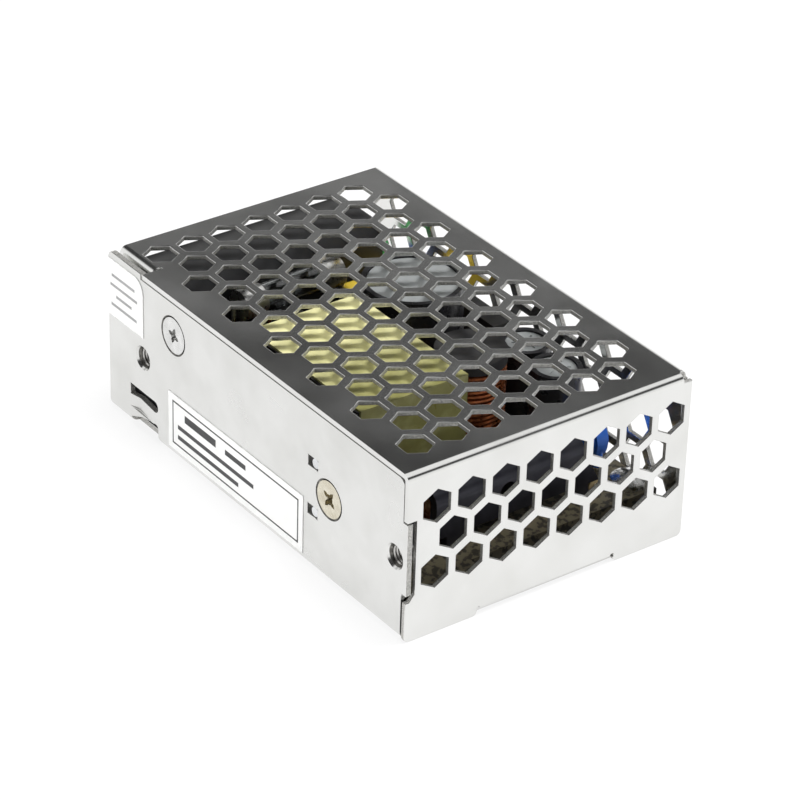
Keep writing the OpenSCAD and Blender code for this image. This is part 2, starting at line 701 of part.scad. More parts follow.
// Common-mode choke: a closed ferrite ring standing on a side, with two windings
filter_c = [20.6, 22];
filter_l = 11.6;
filter_h = fuse_z - fuse_r - board_top - 1;
filter_leg = 2.6;
module line_filter_core() color([0.2, 0.2, 0.21]) place()
    translate([filter_c[0] - filter_l / 2, filter_c[1] - 1.8, board_top]) difference() {
        cube([filter_l, 3.6, filter_h]);
        translate([filter_leg, -eps, filter_leg])
            cube([filter_l - 2 * filter_leg, 4, filter_h - 2 * filter_leg]);
    }
module line_filter_winding() color([0.62, 0.3, 0.14]) place()
    for (x = [filter_leg / 2, filter_l - filter_leg / 2])
        translate([filter_c[0] - filter_l / 2 + x, filter_c[1], board_top + filter_leg + 0.1])
            difference() {
                cylinder(r = 2.85, h = filter_h - 2 * filter_leg - 0.2);
                translate([-filter_leg / 2 - 0.02, -1.82, -1]) cube([filter_leg + 0.04, 3.64, filter_h]);
            }

line_cap = [5.6, 12.4, 11.4];
line_cap_at = [13.7, case_w - 17.1];
module rounded_box(size, r) hull() for (x = [r, size[0] - r], y = [r, size[1] - r]) {
    translate([x, y, 0]) cylinder(r = r, h = size[2] - r, $fn = 24);
    translate([x, y, size[2] - r]) sphere(r = r, $fn = 24);
}
module line_capacitor() color([0.85, 0.72, 0.2]) place()
    translate([line_cap_at[0], line_cap_at[1], board_top]) rounded_box(line_cap, 0.5);

bridge = [14, 3.4, 10];
bridge_at = [26.6, far_y - board_gap - 4.2];
module bridge_rectifier() color([0.11, 0.11, 0.12]) place()
    translate([bridge_at[0], bridge_at[1], board_top + 2]) difference() {
        cube(bridge);
        translate([bridge[0], -eps, bridge[2]]) rotate([0, 45, 0])
            translate([-1.4, 0, -1.4]) cube([2.8, bridge[1] + 2 * eps, 2.8]);
        translate([bridge[0] / 2, -eps, bridge[2] - package_hole_drop])
            rod_y(package_hole_r, bridge[1] + 2 * eps);
    }

// Bulk capacitor: aluminium can with a plain top inside a shrink sleeve
bulk_c = [29.6, case_w - 14.9];
bulk_h = tall_h;
module capacitor_can(r, h, vented = true) difference() {
    union() {
        cylinder(r = r - sleeve_t - 0.02, h = h - 0.6);
        cylinder(r = r - sleeve_t - 0.7, h = h - 0.25);
    }
    if (vented) for (a = [0, 60, 120]) rotate([0, 0, a])
        translate([-r * 0.55, -0.15, h - 0.45]) cube([r * 1.1, 0.3, 1]);
}
module capacitor_sleeve(r, h) difference() {
    cylinder(r = r, h = h);
    translate([0, 0, 0.3]) cylinder(r = r - sleeve_t, h = h - 0.7);
    translate([0, 0, -eps]) cylinder(r = r - sleeve_t - 0.6, h = h + 1);
}
module bulk_capacitor_can() color([0.7, 0.71, 0.72]) place()
    translate([bulk_c[0], bulk_c[1], board_top + 0.31]) capacitor_can(bulk_r, bulk_h - 0.35, vented = false);
module bulk_capacitor_sleeve() color([0.08, 0.08, 0.09]) place()
    translate([bulk_c[0], bulk_c[1], board_top]) capacitor_sleeve(bulk_r, bulk_h);

// ---- transformer ----

core_c = [42.9, 16.45];
core_x0 = core_c[0] - core_l / 2;
core_y0 = core_c[1] - core_w / 2;
core_z0 = board_top + 3.2;
core_z1 = board_top + tall_h - tape_t;
core_leg = core_l / 6;
core_mid = core_l / 3;
core_mid_w = core_w - 4.4;
core_back = 3.4;
core_gap = 0.3;
window_z0 = core_z0 + core_back;
window_z1 = core_z1 - core_back;

module core_half() {
    difference() {
        translate([core_x0, core_y0, core_z0]) cube([core_l, core_w, (core_z1 - core_z0) / 2]);
        translate([core_x0 + core_leg, core_y0 - eps, window_z0])
            cube([core_l - 2 * core_leg, core_w + 2 * eps, case_h]);
    }
    translate([core_c[0] - core_mid / 2, core_c[1] - core_mid_w / 2, window_z0 - eps])
        cube([core_mid, core_mid_w, (core_z1 - core_z0) / 2 - core_back + eps]);
}
module transformer_core() color([0.2, 0.2, 0.21]) place() {
    core_half();
    translate([0, 0, core_z0 + core_z1]) mirror([0, 0, 1]) core_half();
}
coil_over = 0.9;
coil_l = core_l - 2 * core_leg - 2 * core_gap;
coil_w = core_w + 2 * coil_over;
bobbin_t = 0.8;
rail_w = 2.2;
rail_at = core_w / 2 + 0.15 + rail_w / 2;
module core_prism(grow, z, h)
    translate([core_c[0] - core_mid / 2 - grow, core_c[1] - core_mid_w / 2 - grow, z])
        cube([core_mid + 2 * grow, core_mid_w + 2 * grow, h]);
module transformer_bobbin() color([0.13, 0.13, 0.14]) place() {
    difference() {
        union() {
            core_prism(core_gap + bobbin_t, window_z0 + 0.05, window_z1 - window_z0 - 0.1);
            for (z = [window_z0 + 0.05, window_z1 - 1.05])
                translate([core_c[0] - coil_l / 2, core_c[1] - coil_w / 2, z])
                    cube([coil_l, coil_w, 1]);
        }
        core_prism(core_gap, 0, case_h);
    }
    // pin rails reaching down to the board on both sides of the core
    for (s = [-1, 1])
        translate([core_c[0] - coil_l / 2, core_c[1] + s * rail_at - rail_w / 2, board_top])
            cube([coil_l, rail_w, window_z0 - board_top + 0.6]);
}
module transformer_winding() color([0.85, 0.78, 0.4]) place() difference() {
    translate([core_c[0] - coil_l / 2 + 0.3, core_c[1] - coil_w / 2 + 0.1, window_z0 + 1.1])
        cube([coil_l - 0.6, coil_w - 0.2, window_z1 - window_z0 - 2.2]);
    core_prism(core_gap + bobbin_t + 0.1, 0, case_h);
}
// Tape band round the core's outer faces, holding its halves together
module transformer_tape() color([0.93, 0.87, 0.55]) place() difference() {
    translate([core_x0 - tape_t, core_y0 + 0.3, core_z0 - tape_t])
        cube([core_l + 2 * tape_t, core_w - 0.6, core_z1 - core_z0 + 2 * tape_t]);
    translate([core_x0, core_y0, core_z0]) cube([core_l, core_w, core_z1 - core_z0]);
}

// ---- output side ----

choke_c = [46.4, case_w - 16.3];
module output_choke_core() color([0.22, 0.22, 0.23]) place()
    translate([choke_c[0], choke_c[1], board_top]) {
        cylinder(r = choke_r, h = 1.8);
        cylinder(r = choke_r - 3, h = choke_h);
        translate([0, 0, choke_h - 1.8]) cylinder(r = choke_r, h = 1.8);
    }
module output_choke_winding() color([0.65, 0.32, 0.15]) place()
    translate([choke_c[0], choke_c[1], board_top + 1.85]) difference() {
        cylinder(r = choke_r - 0.5, h = choke_h - 3.7);
        translate([0, 0, -1]) cylinder(r = choke_r - 2.95, h = choke_h);
    }
output_pts = [[54.4, case_w - 6.2], [45.9, case_w - 5.4]];
module output_capacitor_cans() color([0.72, 0.73, 0.74]) place()
    for (p = output_pts) translate([p[0], p[1], board_top + 0.31])
        capacitor_can(output_r, output_h - 0.35);
module output_capacitor_sleeves() color([0.1, 0.1, 0.12]) place()
    for (p = output_pts) translate([p[0], p[1], board_top]) capacitor_sleeve(output_r, output_h);

// Black anodised sheet across the end, its top turned inwards
sink_x = case_l - 8;
sink_y0 = 11.2;
sink_w = 30;
sink_lip = 6.5;
sink_bend = sink_t + 0.5;
module output_heat_sink() color([0.13, 0.13, 0.16]) place() {
    difference() {
        union() {
            translate([sink_x, 0, 0]) sheet_zy(sink_t) polygon([
                [board_top + 2.4, sink_y0], [board_top + sink_h - sink_bend, sink_y0],
                [board_top + sink_h - sink_bend, sink_y0 + sink_w - 3],
                [board_top + 2.4, sink_y0 + sink_w]]);
            translate([sink_x - sink_bend, sink_y0, board_top + sink_h - sink_bend])
                fold_along_y(sink_bend, sink_t, sink_w - 3);
            translate([sink_x - sink_bend - sink_lip, sink_y0, board_top + sink_h - sink_t])
                cube([sink_lip + eps, sink_w - 3, sink_t]);
            for (y = [sink_y0 + 2, sink_y0 + sink_w - 5])
                translate([sink_x - sink_t, y, board_top]) cube([sink_t, 3, 3]);
        }
        translate([sink_x - sink_t - eps, diode_y, diode_hole_z]) rod_x(thread_r, sink_t + 1);
    }
}
diode_y = sink_y0 + 13;
diode_w = 10;
diode_t = 4.4;
diode_h = 5.6;
diode_hole_z = board_top + 6.4;
module output_diode() color([0.12, 0.12, 0.13]) place()
    translate([sink_x - sink_t - diode_t, diode_y - diode_w / 2, board_top + 2.4]) difference() {
        cube([diode_t, diode_w, diode_h]);
        translate([-eps, diode_w / 2, diode_hole_z - board_top - 2.4]) rod_x(thread_r, diode_t + 1);
    }

// Blue disc safety capacitor between the mains and the output side
disc_r = 3.6;
disc_t = 3;
disc_c = [case_l - 15.4, case_w - 6.2];
disc_z = board_top + disc_lift + disc_foot + disc_r;
module safety_capacitor() color([0.1, 0.3, 0.7]) place()
    translate([disc_c[0], disc_c[1], disc_z]) disc(disc_r, disc_t);
film = [7.4, 3.6, 7.6];
film_at = [sink_x - 9.6, 13.4];
module film_capacitor() color([0.5, 0.14, 0.08]) place()
    translate([film_at[0], film_at[1], board_top]) rounded_box(film, 1);

// Small moulded packages with a row of legs along each long side
chip_t = 3.3;
chip_lift = 0.4;
opto_at = [sink_x - 12.6, 26.2];
opto_size = [6.2, 4.6, chip_t];
chip_at = [sink_x - 12.2, 18.2];
chip_size = [6.2, 6.4, chip_t];
chip_pitch = 2.4;
chip_leg = [0.5, 0.3];
module package(size) difference() {
    cube(size);
    translate([0, size[1] / 2, size[2] - 0.4]) cylinder(r = 0.8, h = 1);
}
module optocoupler() color([0.14, 0.14, 0.15]) place()
    translate([opto_at[0], opto_at[1], board_top + chip_lift]) package(opto_size);
module control_chip() color([0.12, 0.12, 0.13]) place()
    translate([chip_at[0], chip_at[1], board_top + chip_lift]) package(chip_size);

// Wire-ended resistors, each a waisted body along X above the board
resistor_pts = [[40.8, case_w - 10.2], [sink_x - 9.8, 10.4], [case_l - 11.6, case_w - 10]];
resistor_r = 1.1;
resistor_l = 6;
resistor_z = board_top + resistor_r + 0.05;
module resistors() color([0.75, 0.66, 0.5]) place()
    for (p = resistor_pts) translate([p[0] - resistor_l / 2, p[1], resistor_z]) {
        rod_x(resistor_r, 1.4);
        translate([1.4 - eps, 0, 0]) rod_x(resistor_r - 0.2, resistor_l - 2.8 + 2 * eps);
        translate([resistor_l - 1.4, 0, 0]) rod_x(resistor_r, 1.4);
    }

// ---- leads and solder ----

// Each lead is [x, y, radius, height of its upper end]
lead_thin = 0.3;
lead_mid = 0.4;
led_leg_x = led_x + 6.2;
function pair(c, dx, dy, r, top) = [[c[0] - dx, c[1] - dy, r, top], [c[0] + dx, c[1] + dy, r, top]];
function leg_rows(at, size) = [for (x = [1.2, 1.2 + chip_pitch, size[0] - 0.7])
    for (s = [0, 1]) [at[0] + x - 0.1, at[1] + s * size[1] + (2 * s - 1) * chip_leg[1] / 2,
        norm(chip_leg) / 2, board_top + chip_lift + chip_t / 2]];
chip_leads = concat(leg_rows(chip_at, chip_size), leg_rows(opto_at, opto_size));
straight_leads = concat(
    pair(bulk_c, 0, 3.75, lead_mid, board_top + 0.31),
    [for (p = output_pts) each pair(p, 1.75, 0, lead_thin, board_top + 0.31)],
    pair(choke_c, 3.8, 0, lead_mid, board_top),
    [for (s = [-1, 1]) for (i = [-2 : 2])
        [core_c[0] + i * coil_l / 5.4, core_c[1] + s * rail_at, lead_mid, board_top]],
    [for (s = [-1, 1]) each pair([filter_c[0] + s * (filter_l - filter_leg) / 2, filter_c[1]],
        0, 2.4, lead_thin, board_top + filter_leg + 0.1)],
    pair(thermistor_c, 0, foot_at, lead_thin, board_top + disc_lift),
    pair(disc_c, foot_at, 0, lead_thin, board_top + disc_lift),
    pair([line_cap_at[0] + line_cap[0] / 2, line_cap_at[1] + line_cap[1] / 2], 0, 5, lead_mid, board_top),
    pair([film_at[0] + film[0] / 2, film_at[1] + film[1] / 2], 2.5, 0, lead_thin, board_top),
    [for (i = [0 : 3]) [bridge_at[0] + 2 + i * 3.4, bridge_at[1] + bridge[1] / 2, lead_mid,
        board_top + 2]],
    [for (i = [-1 : 1]) [pot_x + 2.4 + 1.2 * abs(i), pot_y + pot_w / 2 + 2.2 * i, lead_thin, board_top]],
    [for (i = [-1 : 1]) [transistor_at[0] + transistor[0] / 2 + 2.54 * i,
        transistor_at[1] + 2.2, lead_mid, transistor_at[2]]],
    [for (i = [-1 : 1]) [sink_x - sink_t - 2.2, diode_y + 2.54 * i, lead_mid, board_top + 2.4]],
    [for (y = [sink_y0 + 3.5, sink_y0 + sink_w - 3.5]) [sink_x - sink_t / 2, y, 0.6, board_top]]
);
bent_leads = concat(
    [for (s = [-1, 1]) concat(fuse_end(s), [lead_mid, fuse_z + lead_mid])],
    [for (s = [-1, 1]) [led_leg_x, led_y + s * 1.27, lead_thin, led_z + lead_thin]],
    [for (p = resistor_pts) each pair(p, resistor_l / 2 + 0.9, 0, lead_thin, resistor_z + lead_thin)]
);
all_leads = concat(straight_leads, bent_leads, chip_leads);

module component_leads() color([0.8, 0.8, 0.78]) place() {
    for (p = concat(straight_leads, bent_leads)) translate([p[0], p[1], board_z - lead_tail])
        cylinder(r = p[2], h = p[3] - board_z + lead_tail);
    for (p = chip_leads)
        translate([p[0] - chip_leg[0] / 2, p[1] - chip_leg[1] / 2, board_z - lead_tail])
            cube([chip_leg[0], chip_leg[1], p[3] - board_z + lead_tail]);
    for (p = resistor_pts) for (s = [0, 180]) translate([p[0], p[1], resistor_z]) rotate([0, 0, s])
        translate([resistor_l / 2, 0, 0]) rod_x(lead_thin, 0.9);
    for (s = [-1, 1]) translate([led_x + 5.4, led_y + s * 1.27, led_z])
        rod_x(lead_thin, led_leg_x - led_x - 5.4);
    fuse_place() for (s = [0, 180]) rotate([0, 0, s]) translate([0, fuse_l / 2, 0])
        rod_y(lead_mid, fuse_leg - fuse_l / 2);
}

module solder_cone(r) translate([0, 0, -0.9]) difference() {
    cylinder(r1 = r + 0.2, r2 = r + 0.7, h = 0.9);
    translate([0, 0, -eps]) cylinder(r = r + 0.02, h = 1);
}
module solder_joints() color([0.75, 0.75, 0.74]) place() {
    for (p = all_leads) translate([p[0], p[1], board_z]) solder_cone(p[2]);
    for (i = [0 : poles - 1]) translate([contact_x, pole_y(i), board_z]) solder_cone(contact_leg_r);
}

// ---- labels ----

name_x = 16.9;
name_z = chassis_bend + 0.05;
seal_z = 17;
seal_r = 2.5;
module nameplate_label() color([0.93, 0.93, 0.92]) place() translate([name_x, -label_t, name_z])
    sheet_xz(label_t) square([name_l, name_h]);
module seal_label() color([0.95, 0.95, 0.94]) place() translate([0.1, -label_t, seal_z])
    sheet_xz(label_t) union() {
        square([seal_l - seal_r, seal_h]);
        square([seal_l, seal_h - seal_r]);
        translate([seal_l - seal_r, seal_h - seal_r]) circle(seal_r);
    }

chassis();
cover();
cover_screw();
spreader_screw();
heat_spreader();
thermal_pad();
power_transistor();
insulation_sheet();
board_spacers();
board_screws();
circuit_board();
terminal_body();
terminal_contacts();
clamp_washer(0);  // clamp_washer_1
clamp_washer(1);  // clamp_washer_2
clamp_washer(2);  // clamp_washer_3
clamp_washer(3);  // clamp_washer_4
clamp_washer(4);  // clamp_washer_5
terminal_screw(0);  // terminal_screw_1
terminal_screw(1);  // terminal_screw_2
terminal_screw(2);  // terminal_screw_3
terminal_screw(3);  // terminal_screw_4
terminal_screw(4);  // terminal_screw_5
trimmer_body();
trimmer_rotor();
indicator_led();
fuse_glass();
fuse_caps();
inrush_thermistor();
line_filter_core();
line_filter_winding();
line_capacitor();
bridge_rectifier();
bulk_capacitor_can();
bulk_capacitor_sleeve();
transformer_core();
transformer_bobbin();
transformer_winding();
transformer_tape();
output_choke_core();
output_choke_winding();
output_capacitor_cans();
output_capacitor_sleeves();
output_heat_sink();
output_diode();
safety_capacitor();
film_capacitor();
optocoupler();
control_chip();
resistors();
component_leads();
solder_joints();
nameplate_label();
seal_label();
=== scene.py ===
import json
import math
import bmesh
import bpy
from mathutils import Matrix, Vector


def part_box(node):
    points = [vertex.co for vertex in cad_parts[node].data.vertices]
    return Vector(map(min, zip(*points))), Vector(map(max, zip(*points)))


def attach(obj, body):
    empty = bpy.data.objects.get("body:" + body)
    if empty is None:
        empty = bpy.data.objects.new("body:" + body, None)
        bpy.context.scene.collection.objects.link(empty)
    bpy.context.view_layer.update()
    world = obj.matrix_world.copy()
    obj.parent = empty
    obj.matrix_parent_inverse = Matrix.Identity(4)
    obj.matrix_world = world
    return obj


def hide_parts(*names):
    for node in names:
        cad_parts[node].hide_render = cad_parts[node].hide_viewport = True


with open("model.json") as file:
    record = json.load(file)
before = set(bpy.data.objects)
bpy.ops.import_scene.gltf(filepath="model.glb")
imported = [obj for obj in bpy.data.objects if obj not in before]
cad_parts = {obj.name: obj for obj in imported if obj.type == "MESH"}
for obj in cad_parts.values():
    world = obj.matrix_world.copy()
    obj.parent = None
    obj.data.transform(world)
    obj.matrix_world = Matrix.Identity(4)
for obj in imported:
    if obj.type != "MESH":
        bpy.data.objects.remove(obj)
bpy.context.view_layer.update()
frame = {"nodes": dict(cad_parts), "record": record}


# Camera
# A long lens a little over half a metre away, above the perforated end and the solid
# side wall, looking down on the cover.
eye = Vector((0.36884, -0.27496, 0.29001))
view_right = Vector((0.58719, 0.80902, 0.02640))
view_up = Vector((-0.43162, 0.28535, 0.85574))
view_back = Vector((0.68477, -0.51387, 0.51674))
camera_data = bpy.data.cameras.new("product_camera")
sensor_mm, lens_mm = 36, 160.15
camera_data.sensor_width = sensor_mm
camera_data.lens = lens_mm
camera = bpy.data.objects.new("product_camera", camera_data)
turn = Matrix((view_right, view_up, view_back)).transposed().to_quaternion().to_matrix()
camera.matrix_world = Matrix.Translation(eye) @ turn.to_4x4()
bpy.context.scene.collection.objects.link(camera)
bpy.context.scene.camera = camera


# Chassis
# The floor and the solid side wall, folded from one sheet of tin-plated steel. It was
# lanced, dimpled and tapped before it was folded, and it is handled bare.
mm = 0.001
weld_gap = 0.011 * mm
flat_angle = math.radians(0.6)
crease_angle = math.radians(32)


def new_finish(name, colour, metallic, roughness):
    finish = bpy.data.materials.new(name)
    finish.use_nodes = True
    shader = finish.node_tree.nodes["Principled BSDF"]
    shader.inputs["Base Color"].default_value = (*colour, 1)
    shader.inputs["Metallic"].default_value = metallic
    shader.inputs["Roughness"].default_value = roughness
    return finish, finish.node_tree, shader


def cloud(tree, size, detail=3.0, stretch=(1, 1, 1), shift=(0, 0, 0)):
    place = tree.nodes.new("ShaderNodeTexCoord")
    mapping = tree.nodes.new("ShaderNodeMapping")
    mapping.inputs["Location"].default_value = shift
    mapping.inputs["Scale"].default_value = stretch
    noise = tree.nodes.new("ShaderNodeTexNoise")
    noise.inputs["Scale"].default_value = 1 / size
    noise.inputs["Detail"].default_value = detail
    tree.links.new(place.outputs["Object"], mapping.inputs["Vector"])
    tree.links.new(mapping.outputs["Vector"], noise.inputs["Vector"])
    return noise.outputs["Fac"]


def spread(tree, source, low, high, start=0.3, end=0.7):
    ramp = tree.nodes.new("ShaderNodeMapRange")
    ramp.inputs["From Min"].default_value = start
    ramp.inputs["From Max"].default_value = end
    ramp.inputs["To Min"].default_value = low
    ramp.inputs["To Max"].default_value = high
    tree.links.new(source, ramp.inputs["Value"])
    return ramp.outputs["Result"]


def tint(tree, shader, source, colour_a, colour_b):
    mix = tree.nodes.new("ShaderNodeMix")
    mix.data_type = "RGBA"
    mix.inputs[6].default_value = (*colour_a, 1)
    mix.inputs[7].default_value = (*colour_b, 1)
    tree.links.new(source, mix.inputs[0])
    tree.links.new(mix.outputs[2], shader.inputs["Base Color"])
    return mix


def relief(tree, shader, source, strength, depth):
    bump = tree.nodes.new("ShaderNodeBump")
    bump.inputs["Strength"].default_value = strength
    bump.inputs["Distance"].default_value = depth
    tree.links.new(source, bump.inputs["Height"])
    tree.links.new(bump.outputs["Normal"], shader.inputs["Normal"])
    return bump


def wear(tree, shader, size, low, high, detail=3.0):
    value = spread(tree, cloud(tree, size, detail), low, high)
    tree.links.new(value, shader.inputs["Roughness"])
    return value


def dress(finish, *nodes):
    for node in nodes:
        part = frame["nodes"][node]
        for slot in part.material_slots:
            slot.material = finish


def plated_sheet(name, bright, dull, rough_low, rough_high, shift):
    finish, tree, shader = new_finish(name, bright, 1.0, rough_low)
    smudge = cloud(tree, 16 * mm, 4.0, (1, 1, 1.6), shift)
    tree.links.new(spread(tree, smudge, rough_low, rough_high), shader.inputs["Roughness"])
    tint(tree, shader, spread(tree, cloud(tree, 9 * mm, 5.0, (1, 1, 1), shift), 0, 1, 0.35, 0.75),
         bright, dull)
    relief(tree, shader, cloud(tree, 0.5 * mm, 2.0), 0.035, 0.05 * mm)
    return finish


def sheared_edge(name, colour, dull):
    finish, tree, shader = new_finish(name, colour, 0.6, 0.4)
    grain = cloud(tree, 0.16 * mm, 3.0)
    tint(tree, shader, spread(tree, grain, 0, 1), dull, colour)
    tree.links.new(spread(tree, grain, 0.5, 0.28), shader.inputs["Roughness"])
    relief(tree, shader, cloud(tree, 0.1 * mm, 2.0), 0.3, 0.04 * mm)
    return finish


def rolled_sheet(node, name, finishes, region, roll):
    """A copy of a punched sheet with its cut edges rolled over and sorted into finishes."""
    shape = bmesh.new()
    shape.from_mesh(frame["nodes"][node].data)
    bmesh.ops.remove_doubles(shape, verts=shape.verts[:], dist=weld_gap)
    bmesh.ops.dissolve_limit(shape, angle_limit=flat_angle, verts=shape.verts[:],
                             edges=shape.edges[:], use_dissolve_boundaries=False)
    for face in shape.faces:
        face.material_index = region(face.calc_center_median(), face.normal)
    rims = [e for e in shape.edges if {f.material_index for f in e.link_faces} == {0, 1}]
    rolled = bmesh.ops.bevel(shape, geom=rims, offset=roll, offset_type="OFFSET", segments=3,
                             profile=0.5, affect="EDGES", clamp_overlap=False, material=-1)
    for face in rolled["faces"]:
        face.material_index = 0
    data = bpy.data.meshes.new(name)
    shape.to_mesh(data)
    shape.free()
    for finish in finishes:
        data.materials.append(finish)
    data.polygons.foreach_set("use_smooth", [True] * len(data.polygons))
    data.set_sharp_from_angle(angle=crease_angle)
    piece = bpy.data.objects.new(name, data)
    bpy.context.scene.collection.objects.link(piece)
    even = piece.modifiers.new("even_faces", "WEIGHTED_NORMAL")
    even.keep_sharp = True
    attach(piece, "case")
    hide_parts(node)
    return piece


def box_middle(node):
    low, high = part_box(node)
    return (Vector(low) + Vector(high)) / 2, Vector(low), Vector(high)


wall_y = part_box("chassis")[0][1]
chassis_t = 1.0 * mm
dimple_reach, thread_reach = 3.6 * mm, 1.8 * mm
skin = 0.04 * mm
nearly_flat, nearly_upright = 0.97, 0.1
side_threads = ("side_thread_front", "side_thread_rear")
base_threads = ("base_thread_front", "base_thread_rear")
record_mounts = {m["name"]: m for m in frame["record"]["mounts"]}
side_sinks = [(box_middle(screw)[0], dimple_reach) for screw in ("cover_screw", "spreader_screw")]
side_sinks += [(Vector(record_mounts[m]["pos_m"]), thread_reach) for m in side_threads]
floor_sinks = [Vector(record_mounts[m]["pos_m"]) for m in base_threads]


def in_thickness(depth, thickness, along):
    return skin < depth < thickness - skin and abs(along) < nearly_upright


def chassis_region(at, facing):
    """0 on the sheet's faces, 1 on its cut edges, 2 in dimples and threads, which get painted
    shade.
    """
    for sink, reach in side_sinks:
        if math.hypot(at.x - sink.x, at.z - sink.z) < reach and abs(facing.y) < nearly_flat:
            return 2
    for sink in floor_sinks:
        near = math.hypot(at.x - sink.x, at.y - sink.y) < thread_reach
        if near and abs(facing.z) < nearly_flat:
            return 2
    in_wall = in_thickness(at.y - wall_y, chassis_t, facing.y)
    in_floor = in_thickness(at.z, chassis_t, facing.z)
    return 1 if in_wall or in_floor else 0


sheared_steel = sheared_edge("sheared_steel", (0.62, 0.61, 0.58), (0.20, 0.20, 0.19))
# Bare steel in the dimples and threads, set near black as a painted shade in these recesses, with
# random mottling.
recess_steel_painted_shade, tree, shader = new_finish("bare_steel_painted_recess_shade", (0.20, 0.19, 0.18), 1.0, 0.42)
wear(tree, shader, 0.7 * mm, 0.3, 0.55)
tint(tree, shader, spread(tree, cloud(tree, 0.9 * mm, 4.0), 0, 1), (0.28, 0.27, 0.25),
     (0.07, 0.07, 0.065))
plated_chassis = plated_sheet("plated_chassis", (0.79, 0.79, 0.775), (0.70, 0.70, 0.68), 0.16,
                              0.30, (3, 1, 2))
rolled_sheet("chassis", "chassis_sheet_rolled",
             (plated_chassis, sheared_steel, recess_steel_painted_shade), chassis_region, 0.1 * mm)


# Threads in the side wall and the floor
# Four drawn collars are tapped for M3 screws, and the cut ridge shows in their mouths.
# Each ridge is a fine helix just inside the collar's bore.
def add_piece(name, mesh_builder, finish, body, smooth=True):
    data = bpy.data.meshes.new(name)
    shape = bmesh.new()
    mesh_builder(shape)
    shape.normal_update()
    shape.to_mesh(data)
    shape.free()
    data.materials.append(finish)
    if smooth:
        data.polygons.foreach_set("use_smooth", [True] * len(data.polygons))
        data.set_sharp_from_angle(angle=math.radians(40))
    piece = bpy.data.objects.new(name, data)
    bpy.context.scene.collection.objects.link(piece)
    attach(piece, body)
    return piece


def wind_helix(shape, centre, axis, radius, wire, pitch, turns, steps, sides):
    """A closed wire wound round an axis, starting beside centre."""
    axis = Vector(axis).normalized()
    side = axis.orthogonal().normalized()
    start = Vector(centre) + side * radius
    ring = bmesh.ops.create_circle(shape, cap_ends=True, radius=wire, segments=sides)["verts"]
    stand = Matrix((side, axis, side.cross(axis))).transposed().to_4x4()
    bmesh.ops.transform(shape, matrix=Matrix.Translation(start) @ stand, verts=ring)
    edges = list({e for v in ring for e in v.link_edges})
    total = int(steps * turns)
    spun = bmesh.ops.spin(shape, geom=edges, cent=centre, axis=axis,
                          dvec=axis * pitch / steps, angle=2 * math.pi * turns,
                          steps=total, use_merge=False)
    last = [g for g in spun["geom_last"] if isinstance(g, bmesh.types.BMEdge)]
    bmesh.ops.contextual_create(shape, geom=last)
    bmesh.ops.recalc_face_normals(shape, faces=shape.faces[:])


ridge_r, ridge_wire, m3_pitch, ridge_turns = 1.49 * mm, 0.17 * mm, 0.5 * mm, 3.1
mouth_depth = 0.8 * mm


def ridge(centre, axis):
    return lambda shape: wind_helix(shape, centre, axis, ridge_r, ridge_wire, m3_pitch,
                                    ridge_turns, steps=32, sides=4)


thread_finish, tree, shader = new_finish("tapped_thread", (0.55, 0.54, 0.52), 1.0, 0.3)
wear(tree, shader, 0.6 * mm, 0.22, 0.45)
for mount in side_threads + base_threads:
    away = Vector(record_mounts[mount]["axis"])
    mouth = Vector(record_mounts[mount]["pos_m"]) + away * mouth_depth
    add_piece(mount + "_ridge", ridge(mouth, -away), thread_finish, "case")


# Perforated cover
# Top, end plate, far wall and the tab behind the side wall, punched with staggered
# hexagons and folded from one thinner sheet of the same plated steel.
cover_high = box_middle("cover")[2]
cover_t = 0.8 * mm
tab_y = wall_y + 1.9 * mm


def cover_region(at, facing):
    """0 on the sheet's faces, 1 on its cut edges."""
    depths = ((cover_high.z - at.z, facing.z), (cover_high.x - at.x, facing.x),
              (cover_high.y - at.y, facing.y), (at.y - tab_y, facing.y))
    return int(any(in_thickness(depth, cover_t, along) for depth, along in depths))


plated_cover = plated_sheet("plated_cover", (0.80, 0.80, 0.785), (0.73, 0.73, 0.71), 0.13, 0.24,
                            (7, 4, 5))
rolled_sheet("cover", "cover_sheet_rolled", (plated_cover, sheared_steel),
             cover_region, 0.13 * mm)


# Case screws
# Two countersunk M3 screws lie flush in dimples of the side wall. The one in the cover's
# tab is bright zinc, the one that pulls the heat spreader up is yellower nickel.
def screw_metal(name, colour, dull):
    finish, tree, shader = new_finish(name, colour, 1.0, 0.25)
    wear(tree, shader, 0.9 * mm, 0.16, 0.36)
    tint(tree, shader, spread(tree, cloud(tree, 1.6 * mm, 4.0), 0, 1), colour, dull)
    relief(tree, shader, cloud(tree, 0.25 * mm, 2.0), 0.05, 0.05 * mm)
    return finish


dress(screw_metal("zinc_screw", (0.84, 0.84, 0.83), (0.66, 0.66, 0.65)), "cover_screw",
      "board_screws")
dress(screw_metal("nickel_screw", (0.80, 0.76, 0.64), (0.62, 0.57, 0.45)), "spreader_screw")


# Heat spreader and power transistor
# A mill-finished aluminium bar pressed to the side wall over a dark grey pad, its two
# riveted studs showing in square holes, with the moulded transistor on its inner face.
bar_metal, tree, shader = new_finish("mill_aluminium", (0.78, 0.79, 0.80), 1.0, 0.35)
tree.links.new(spread(tree, cloud(tree, 1.2 * mm, 4.0, (0.06, 1, 1)), 0.25, 0.5),
               shader.inputs["Roughness"])
relief(tree, shader, cloud(tree, 0.6 * mm, 3.0, (0.05, 1, 1)), 0.08, 0.05 * mm)
dress(bar_metal, "heat_spreader")

pad_rubber, tree, shader = new_finish("thermal_pad_rubber", (0.06, 0.06, 0.058), 0.0, 0.7)
tint(tree, shader, spread(tree, cloud(tree, 0.8 * mm, 4.0), 0, 1), (0.075, 0.073, 0.07),
     (0.03, 0.03, 0.029))
relief(tree, shader, cloud(tree, 0.3 * mm), 0.2, 0.05 * mm)
dress(pad_rubber, "thermal_pad")


